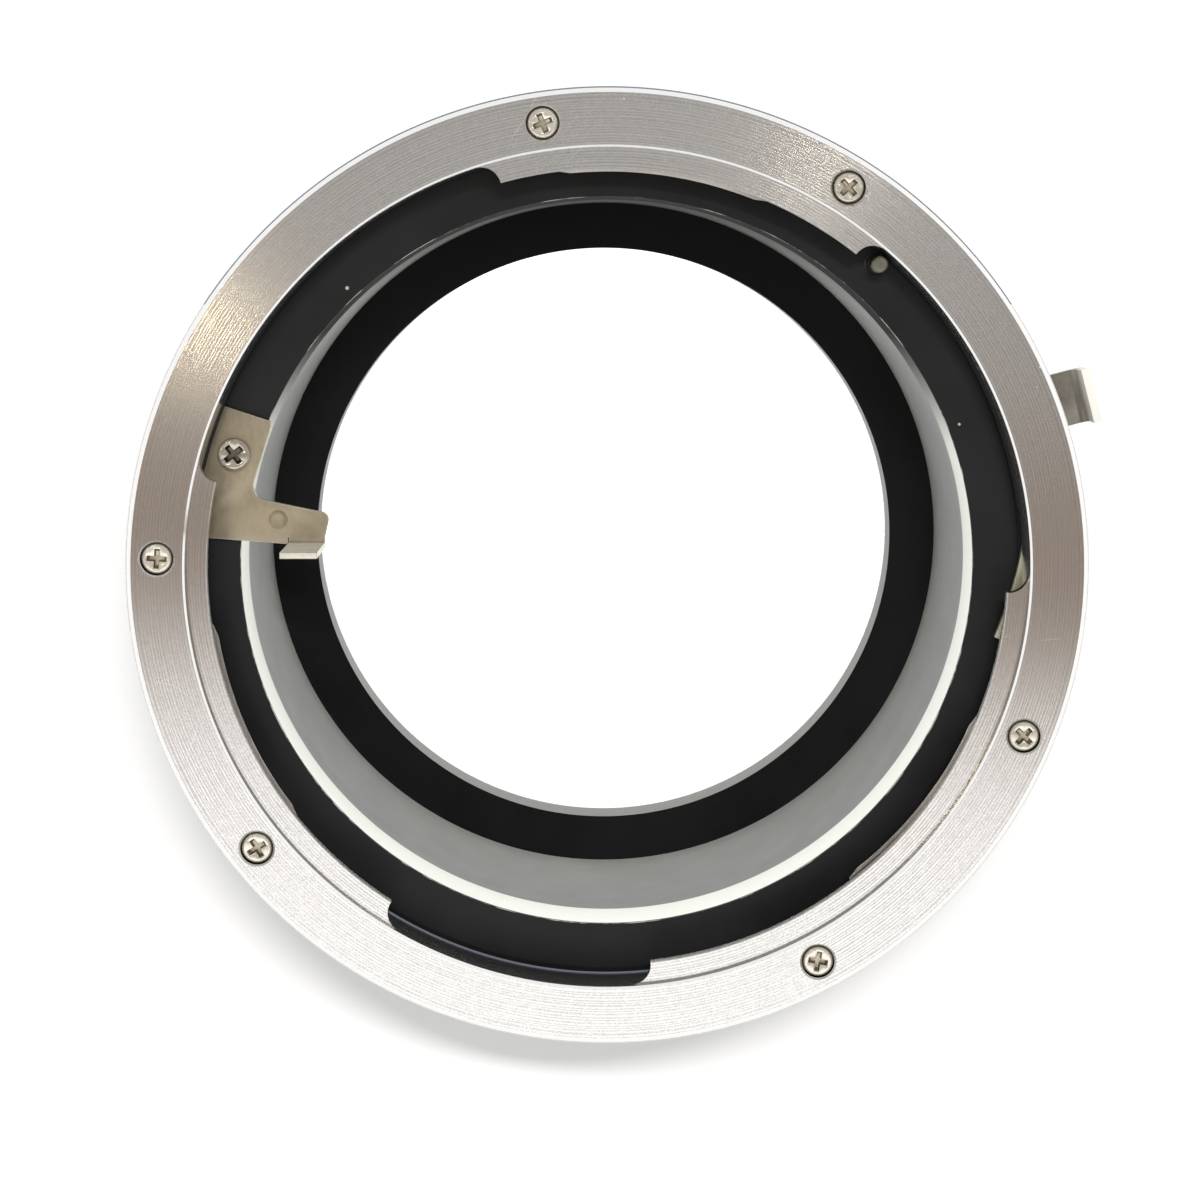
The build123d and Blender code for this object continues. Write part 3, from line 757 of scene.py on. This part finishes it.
# %% Black, with a bare band
# The slots are: 0 black, 1 band, 2 bore (painted sheen, light and shade), 3 worn lines, 4 the ledge under
# the ring, in painted shade on its near side.
NEAR_SIDE = -8
wear(tube, satin_black, bare_band, bore_painted_sheen_light_shade, worn_line, rim_shade)
bare = finish_faces(tube, 1, zone(0, MOUTH_RADIUS - 0.05, BAND_END + 0.01, FLOOR - 0.26))
worn = finish_faces(tube, 3, zone(0, MOUTH_RADIUS + 0.04, FLOOR - 0.035, FLOOR - 0.005))
pin_middle = Vector(around(PIN_CIRCLE, PIN_ANGLE))
worn += finish_faces(
    tube, 3, lambda p: (p.xy - pin_middle).length < 1.0 and FLOOR - 0.045 < p.z < FLOOR - 0.005)
on_ledge = zone(FLOOR_WALL + 0.01, STEP_RADIUS - 0.01, RING_REAR - 0.09, RING_REAR - 0.01)
ledge = finish_faces(tube, 4, lambda p: on_ledge(p) and p.y < NEAR_SIDE)
bore = finish_faces(tube, 2, zone(0, BORE_RADIUS + 0.07, PLATE_TOP + 0.1, BAND_END + 0.1))
print("bare faces:", bare, "bore faces:", bore, "worn edge faces:", worn + ledge)
seat(tube, "adapter", "black_anodised", "adapter_body")

# %% [markdown]
# ## The camera mount ring
# It is turned from one piece too: a plate under the tube, a spigot and three lugs that reach into the
# camera. The lugs could be cut from a full collar, but three short sectors welded on take fewer cuts.
# The side that faces the lens is black, and the throat is grey as painted sheen down to where the bare
# metal starts.

# %% The camera ring and its lugs
THROAT_RADIUS = 24.4
THROAT_BARE = 3.4
SPIGOT_RADIUS = 25.9
SPIGOT_LENGTH = 5.1
PLATE_RADIUS = 32.5
PLATE_EDGE = 0.25
CAMERA_LUGS = (80.0, 200.0, 320.0)
CAMERA_LUG_SPAN = 58
CAMERA_LUG = ((25.4, 1.4), (26.9, 1.4), (27.0, 1.5), (27.0, 2.6), (26.9, 2.7), (25.4, 2.7))
camera_ring = turned("camera_ring", [
    (THROAT_RADIUS, 0.08), (THROAT_RADIUS + 0.08, 0), (SPIGOT_RADIUS - PLATE_EDGE, 0),
    (SPIGOT_RADIUS, PLATE_EDGE), (SPIGOT_RADIUS, SPIGOT_LENGTH),
    (PLATE_RADIUS - PLATE_EDGE, SPIGOT_LENGTH), (PLATE_RADIUS, SPIGOT_LENGTH + PLATE_EDGE),
    (PLATE_RADIUS, PLATE_TOP), (THROAT_RADIUS, PLATE_TOP), (THROAT_RADIUS, THROAT_BARE),
])
for middle in CAMERA_LUGS:
    start = middle + CAMERA_LUG_SPAN / 2
    weld(camera_ring, turned("lug", CAMERA_LUG, start, CAMERA_LUG_SPAN))
print("camera lugs welded on:", len(CAMERA_LUGS))

# %% Its holes and finishes
CAMERA_SCREWS = (45.0, 135.0, 225.0, 315.0)
CAMERA_SCREW_CIRCLE = 30.4
LOCK_HOLE_ANGLE = 15.0
SCREW_HOLE, LOCK_HOLE = (1.57, 0.8), (1.2, 1.1)
FLIP = Matrix.Rotation(pi, 4, "X")
holes = [(angle, *SCREW_HOLE) for angle in CAMERA_SCREWS] + [(LOCK_HOLE_ANGLE, *LOCK_HOLE)]
for angle, radius, depth in holes:
    bore = counterbore(radius, depth)
    bore.data.transform(spot(CAMERA_SCREW_CIRCLE, angle, SPIGOT_LENGTH) @ FLIP)
    cut(camera_ring, bore)
smooth(camera_ring)
wear(camera_ring, camera_chrome, throat_black, throat_painted_sheen)
black = finish_faces(camera_ring, 1, lambda p: p.z > PLATE_TOP - 0.01)
# Painted sheen: the throat wall above the bare metal is grey.
satin = finish_faces(
    camera_ring, 2, zone(0, THROAT_RADIUS + 0.02, THROAT_BARE, PLATE_TOP - 0.01))
print("black faces:", black, "satin faces:", satin)
seat(camera_ring, "adapter", "camera_chrome", "camera_mount_ring")

# %% [markdown]
# ## Screws
# All heads have the same form: a low cheese head with a rounded rim and a cross recess whose arms
# taper towards the floor. One is modelled and then copied, turned a little differently each time,
# because nobody stops a screw at the same angle twice.

# %% One screw
HEAD_HEIGHT = 0.8
HEAD_ROUND = 0.2
RECESS_EDGE = 0.03
ARM_TAPER = (0.62, 0.6, 1)
ARM_LENGTH, ARM_WIDTH, ARM_DEPTH = 0.80, 0.21, 0.66


def cross_arm(length, width, depth, turn):
    """One arm of the recess: a block that narrows downwards."""
    rest_selection()
    bpy.ops.mesh.primitive_cube_add(size=1, location=(0, 0, 0))
    arm = bpy.context.object
    arm.data.transform(Matrix.Diagonal((length * MM, width * MM, 2 * depth * MM, 1)))
    bpy.ops.object.mode_set(mode="EDIT")
    pick(arm, "FACE", lambda p: p.z < -depth + 0.01)
    bpy.ops.transform.resize(value=ARM_TAPER)
    bpy.ops.object.mode_set(mode="OBJECT")
    arm.data.transform(Matrix.Rotation(radians(turn), 4, "Z"))
    return arm


def screw(name, plating, recess, head, thread, length):
    """A cross-recessed screw with its head's top at the origin."""
    rest_selection()
    bpy.ops.mesh.primitive_cylinder_add(
        vertices=64, radius=head / 2 * MM, depth=HEAD_HEIGHT * MM,
        location=(0, 0, -HEAD_HEIGHT / 2 * MM))
    piece = bpy.context.object
    piece.name = piece.data.name = name
    bpy.ops.object.transform_apply(location=True, rotation=True, scale=True)
    bpy.ops.object.mode_set(mode="EDIT")
    pick(piece, "FACE", lambda p: p.z < -HEAD_HEIGHT + 0.01)
    bpy.ops.mesh.inset(thickness=(head - thread) / 2 * MM)
    drop = (0, 0, (HEAD_HEIGHT - length) * MM)
    bpy.ops.mesh.extrude_region_move(TRANSFORM_OT_translate={"value": drop})
    pick(piece, "EDGE", lambda p: p.z > -0.01)
    bpy.ops.mesh.bevel(offset=HEAD_ROUND * MM, segments=5, affect="EDGES", profile=0.5)
    bpy.ops.object.mode_set(mode="OBJECT")
    for turn in (0, 90):
        cut(piece, cross_arm(ARM_LENGTH * head, ARM_WIDTH * head, ARM_DEPTH * HEAD_HEIGHT, turn))
    hold(piece)
    bpy.ops.object.mode_set(mode="EDIT")
    bpy.ops.mesh.select_all(action="SELECT")
    bpy.ops.mesh.vert_connect_concave()
    bpy.ops.object.mode_set(mode="OBJECT")
    wear(piece, plating, recess)
    # Painted shade: the recess faces take the darker finish.
    in_recess = zone(-1, ARM_LENGTH / 2 * head, -0.7 * HEAD_HEIGHT, -0.05)
    finish_faces(piece, 1, in_recess)
    return soften(piece, RECESS_EDGE, angle=32)


def stand(radius, angle, height, turn):
    """The place of a screw on a circle round the axis."""
    return spot(radius, angle, height) @ Matrix.Rotation(radians(turn), 4, "Z")


print("screw helper ready")

# %% All the screws
HEAD_TURNS = (42, 22, -4, 31, 80, 45)
BRACKET_SCREW = Vector((-28.7, 8.66, FLOOR + 1.3))
BRACKET_TURN = 38
lens_screws = copies(
    screw("lens_screw", nickel_screw, recess_painted_shade, head=2.3, thread=1.4, length=7.0), "lens_screws",
    [stand(LENS_SCREW_CIRCLE, angle, FACE - 0.1, turn)
     for angle, turn in zip(LENS_SCREWS, HEAD_TURNS)])
seat(lens_screws, "adapter", "nickel_screw", "lens_mount_screws")
camera_screws = copies(
    screw("camera_screw", nickel_screw, recess_painted_shade, head=2.6, thread=1.6, length=5.0),
    "camera_screws", [stand(CAMERA_SCREW_CIRCLE, angle, SPIGOT_LENGTH, 20 + angle) @ FLIP
                      for angle in CAMERA_SCREWS])
seat(camera_screws, "adapter", "nickel_screw", "camera_mount_screws")
bracket_screw = copies(
    screw("bracket_screw_one", dull_nickel, dark_painted_shade, head=2.5, thread=1.4, length=3.6),
    "bracket_screw",
    [Matrix.Translation(BRACKET_SCREW * MM) @ Matrix.Rotation(radians(BRACKET_TURN), 4, "Z")])
seat(bracket_screw, "adapter", "nickel_screw", "aperture_bracket_screw")

# %% [markdown]
# ## The aperture bracket
# A piece of nickel-plated sheet lies on the floor and reaches over the bore. Its free edge is folded
# up into a finger. Two boxes would meet in a sharp corner, which sheet never has. A fold is a quarter
# turn of the section about the bend's axis, so the edge face is spun about it and then pulled up.

# %% The flat outline
SHEET = 0.5
SHEET_TOP = FLOOR + SHEET
SHEET_MIDDLE = FLOOR + SHEET / 2
WALL = 31.88
WALL_STEPS = 12
WALL_END = 157.3
SHOULDER, ELBOW, TIP = (-25.75, 11.1), (-27.61, 5.31), (-21.4, 4.0)
FOLD_Y = 2.2
FINGER_LEFT, FINGER_RIGHT = -24.6, -21.8
NOTCH_LEFT, NOTCH_END = -24.72, 1.65
CORNERS = ((SHOULDER, 0.4), (ELBOW, 1.3), (TIP, 0.6))
wall_start = degrees(atan2(FOLD_Y, -(WALL**2 - FOLD_Y**2) ** 0.5))
bracket = raised("aperture_arm", [
    SHOULDER, ELBOW, TIP, (FINGER_RIGHT, FOLD_Y), (FINGER_LEFT, FOLD_Y), (NOTCH_LEFT, FOLD_Y),
    (NOTCH_LEFT, NOTCH_END), *arc(WALL, wall_start, WALL_END, WALL_STEPS),
], FLOOR, SHEET_TOP)
bpy.ops.object.mode_set(mode="EDIT")
for corner, radius in CORNERS:
    place = Vector((*corner, SHEET_MIDDLE))
    pick(bracket, "EDGE", lambda p: (p - place).length < 0.05)
    bpy.ops.mesh.bevel(offset=radius * MM, segments=8, affect="EDGES", clamp_overlap=False)
print("bracket outline:", len(bracket.data.vertices), "vertices")

# %% The folded finger
FOLD_RADIUS = 0.3
FOLD_LEAD = 0.1
FINGER_TOP = 34.0
fold_edge = Vector(((FINGER_LEFT + FINGER_RIGHT) / 2, FOLD_Y, SHEET_MIDDLE))
pick(bracket, "FACE", lambda p: (p - fold_edge).length < 0.1)
bpy.ops.mesh.extrude_region_move(TRANSFORM_OT_translate={"value": (0, -FOLD_LEAD * MM, 0)})
bend = Vector((0, FOLD_Y - FOLD_LEAD, SHEET_TOP + FOLD_RADIUS)) * MM
bpy.ops.mesh.spin(steps=8, angle=radians(90), center=bend, axis=(1, 0, 0))
rise = (0, 0, (FINGER_TOP - SHEET_TOP - FOLD_RADIUS) * MM)
bpy.ops.mesh.extrude_region_move(TRANSFORM_OT_translate={"value": rise})
clean_up(bracket)
low, high = Vector(bracket.bound_box[0]) / MM, Vector(bracket.bound_box[6]) / MM
print("finger reaches", round(high.z, 2), "mm, edge at y", round(low.y, 2))

# %% The pressed dimple, and soft edges
DIMPLE = Vector((-25.4, 3.56, SHEET_TOP))
BRACKET_EDGE = 0.05
dimple = turned("dimple", [
    (0.0, -0.16), (0.3, -0.15), (0.52, -0.1), (0.7, -0.02), (0.84, 0.06), (0.0, 0.06),
])
dimple.data.transform(Matrix.Translation(DIMPLE * MM))
cut(bracket, dimple)
wear(bracket, nickel_sheet, worn_edge_and_highlight, finger_painted_light)
# Painted light: the finger's faces take the paler finish.
finish_faces(bracket, 2, lambda p: p.z > SHEET_TOP + 0.35)
# The bevelled edges take slot 1: worn edges with a painted highlight.
soften(bracket, BRACKET_EDGE, edge_slot=1)
seat(bracket, "adapter", "nickel_sheet", "aperture_bracket")

# %% [markdown]
# ## Lock lever, springs and pins
# These pieces are sheet and wire whose outlines the solids already hold exactly. A copy of each solid
# is merged into clean faces and its edges are broken, because it is the thin bright edge that makes
# pressed metal read as metal.


# %% Copies with broken edges
def pressed(node, name, width):
    """A copy of a solid: triangles merged, flat faces dissolved, edges softened."""
    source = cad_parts[node]
    piece = source.copy()
    piece.data = source.data.copy()
    piece.parent = None
    for key in list(piece.keys()):
        if key.startswith("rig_"):
            del piece[key]
    bpy.context.scene.collection.objects.link(piece)
    piece.name = piece.data.name = name
    hold(piece)
    bpy.ops.object.mode_set(mode="EDIT")
    bpy.ops.mesh.select_all(action="SELECT")
    bpy.ops.mesh.remove_doubles(threshold=DOUBLES * MM)
    bpy.ops.mesh.customdata_custom_splitnormals_clear()
    bpy.ops.mesh.dissolve_limited(angle_limit=radians(1.0))
    bpy.ops.object.mode_set(mode="OBJECT")
    return soften(piece, width)


LEVER_EDGE = 0.05
LEAF_EDGE = 0.03
lever = wear(pressed("lock_lever", "lock_lever_plate", LEVER_EDGE), lever_nickel)
seat(lever, "lock_lever", "nickel_sheet", "lock_lever")
for number in (1, 2, 3):
    leaf = pressed(f"bayonet_spring_{number}", f"bayonet_leaf_{number}", LEAF_EDGE)
    wear(leaf, spring_steel)
    seat(leaf, "adapter", "spring_steel", f"bayonet_spring_{number}")
stop_pin = wear(pressed("lens_stop_pin", "stop_pin", LEAF_EDGE), pin_nickel)
seat(stop_pin, "adapter", "nickel_screw", "lens_stop_pin")
wear(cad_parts["lock_pivot_pin"], nickel_screw)
for node in ("lens_index_dot", "camera_index_dot"):
    wear(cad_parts[node], enamel)
print("pressed pieces done")

# %% [markdown]
# ## The lock's leaf spring
# The leaf's foot lies along the wall of the pocket and its free end bears on the lever. When the lever
# swings out, the leaf bends. One joint in the middle would leave a kink. So the copy is cut across in
# many places.

# %% A leaf cut across in many places
LEAF_FOOT = Vector((35.27, 0.92, 27.75))
LEAF_TIP = Vector((32.2, -5.13, 27.75))
LEAF_CUTS = 12
lock_leaf = wear(pressed("lock_spring", "lock_leaf", LEAF_EDGE), spring_steel)
bpy.ops.object.mode_set(mode="EDIT")
for number in range(1, LEAF_CUTS):
    bpy.ops.mesh.select_all(action="SELECT")
    here = LEAF_FOOT.lerp(LEAF_TIP, number / LEAF_CUTS) * MM
    bpy.ops.mesh.bisect(plane_co=here, plane_no=LEAF_TIP - LEAF_FOOT)
bpy.ops.object.mode_set(mode="OBJECT")
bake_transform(lock_leaf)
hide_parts("lock_spring")
print("leaf cut into", len(lock_leaf.data.polygons), "faces")

# %% [markdown]
# ## Floor, light and camera
# The adapter stands on its camera end and is seen from above, almost along its axis. The floor is
# white for the camera and for reflections, and still takes a soft shadow. The flat flange acts as a
# mirror, so the world is made like a small studio: white low down, a bright card on the near side of
# the zenith, and a grey room with a brown border elsewhere. Light on dull surfaces is plain grey.

# %% Floor
FLOOR_LIFT = 0.24
THROAT_LIFT = 0.95
rest_selection()
bpy.ops.mesh.primitive_circle_add(vertices=96, radius=2.5, fill_type="NGON")
floor = bpy.context.object
floor.name = floor.data.name = "studio_floor"
white = Finish("floor_white", (0.90, 0.90, 0.90), Roughness=0.9, Specular_IOR_Level=0.0)
under_bore = white.span(white.radius(), 24.5 * MM, 26.5 * MM, THROAT_LIFT, 0.0)
lift = white.sums("MAXIMUM", under_bore, FLOOR_LIFT)
white.shader.inputs["Emission Color"].default_value = (1, 1, 1, 1)
white.paint("Emission Strength", white.sums("MULTIPLY", white.seen_rays(), lift))
wear(floor, white)
print("floor radius", floor.dimensions.x / 2)

# %% World
ROOM_BROWN, ROOM_GREY = (0.245, 0.17, 0.12), (0.47, 0.47, 0.465)
CARD, HORIZON, PLAIN = (1.70, 1.70, 1.71), (1.0, 1.0, 1.0), (0.50, 0.50, 0.50)
world = bpy.data.worlds.new("studio")
bpy.context.scene.world = world
world.use_nodes = True
world.node_tree.nodes.clear()
studio = Nodes(world.node_tree)
way = studio.node("TexCoord").outputs["Generated"]
x, y, z = studio.node("SeparateXYZ", {0: way}).outputs


def ramp(value, low, high):
    """A soft step from 0 to 1."""
    return studio.span(value, low, high, ease="SMOOTHSTEP")


lean = studio.sums("ADD", studio.sums("MULTIPLY", x, 0.06), y)
tilt = studio.sums("ADD", studio.sums("MULTIPLY", z, 0.182), lean)
picture = studio.mix(ramp(tilt, 0.05, 0.21), ROOM_BROWN, ROOM_GREY)
on_card = studio.sums("MULTIPLY", ramp(tilt, 0.009, -0.026), ramp(z, 0.76, 0.88))
picture = studio.mix(on_card, picture, CARD)
picture = studio.mix(ramp(z, 0.40, 0.26), picture, HORIZON)
light = studio.mix(studio.seen_rays(), PLAIN, picture)
background = studio.node("Background", {"Color": light}, in_Strength=1.0)
studio.node("OutputWorld", {"Surface": background.outputs[0]})
print("world:", len(world.node_tree.nodes), "nodes")

# %% Lamps
AIM = Vector((0, 0, 0.02))


def panel(name, place, size, depth, power, colour):
    """An area lamp that faces the middle of the adapter."""
    lamp = bpy.data.lights.new(name, "AREA")
    lamp.shape = "ELLIPSE"
    lamp.size, lamp.size_y = size, depth
    lamp.energy = power
    lamp.color = colour
    made = bpy.data.objects.new(name, lamp)
    bpy.context.scene.collection.objects.link(made)
    made.location = place
    made.rotation_euler = (AIM - Vector(place)).to_track_quat("-Z", "Y").to_euler()
    return made


key = panel(
    "key_above", (0.03, 0.198, 0.63), size=0.15, depth=0.03, power=2.2, colour=(1.0, 0.99, 0.97))
key.visible_glossy = False
panel("warm_lamp", (-0.14, 0.032, 0.48), size=0.02, depth=0.02, power=0.034, colour=(1.0, 0.86, 0.62))
panel("side_lamp", (0.088, 0.094, 0.48), size=0.02, depth=0.02, power=0.016, colour=(1.0, 0.92, 0.80))

# %% Camera
EYE_PLACE = Vector((-2.94, 25.03, 226.07))
EYE_TURN = (-4.765, -0.678, 0.036)
eye = bpy.data.cameras.new("eye")
eye.lens = 77.6
eye.sensor_width = 36.0
eye.shift_y = -0.12
eye.clip_start = 0.01
eye.clip_end = 20.0
camera = bpy.data.objects.new("eye", eye)
bpy.context.scene.collection.objects.link(camera)
camera.location = EYE_PLACE * MM
camera.rotation_euler = [radians(turn) for turn in EYE_TURN]
bpy.context.scene.camera = camera
bpy.context.scene.view_settings.view_transform = "Standard"
print("camera at", [round(v / MM, 1) for v in camera.location])
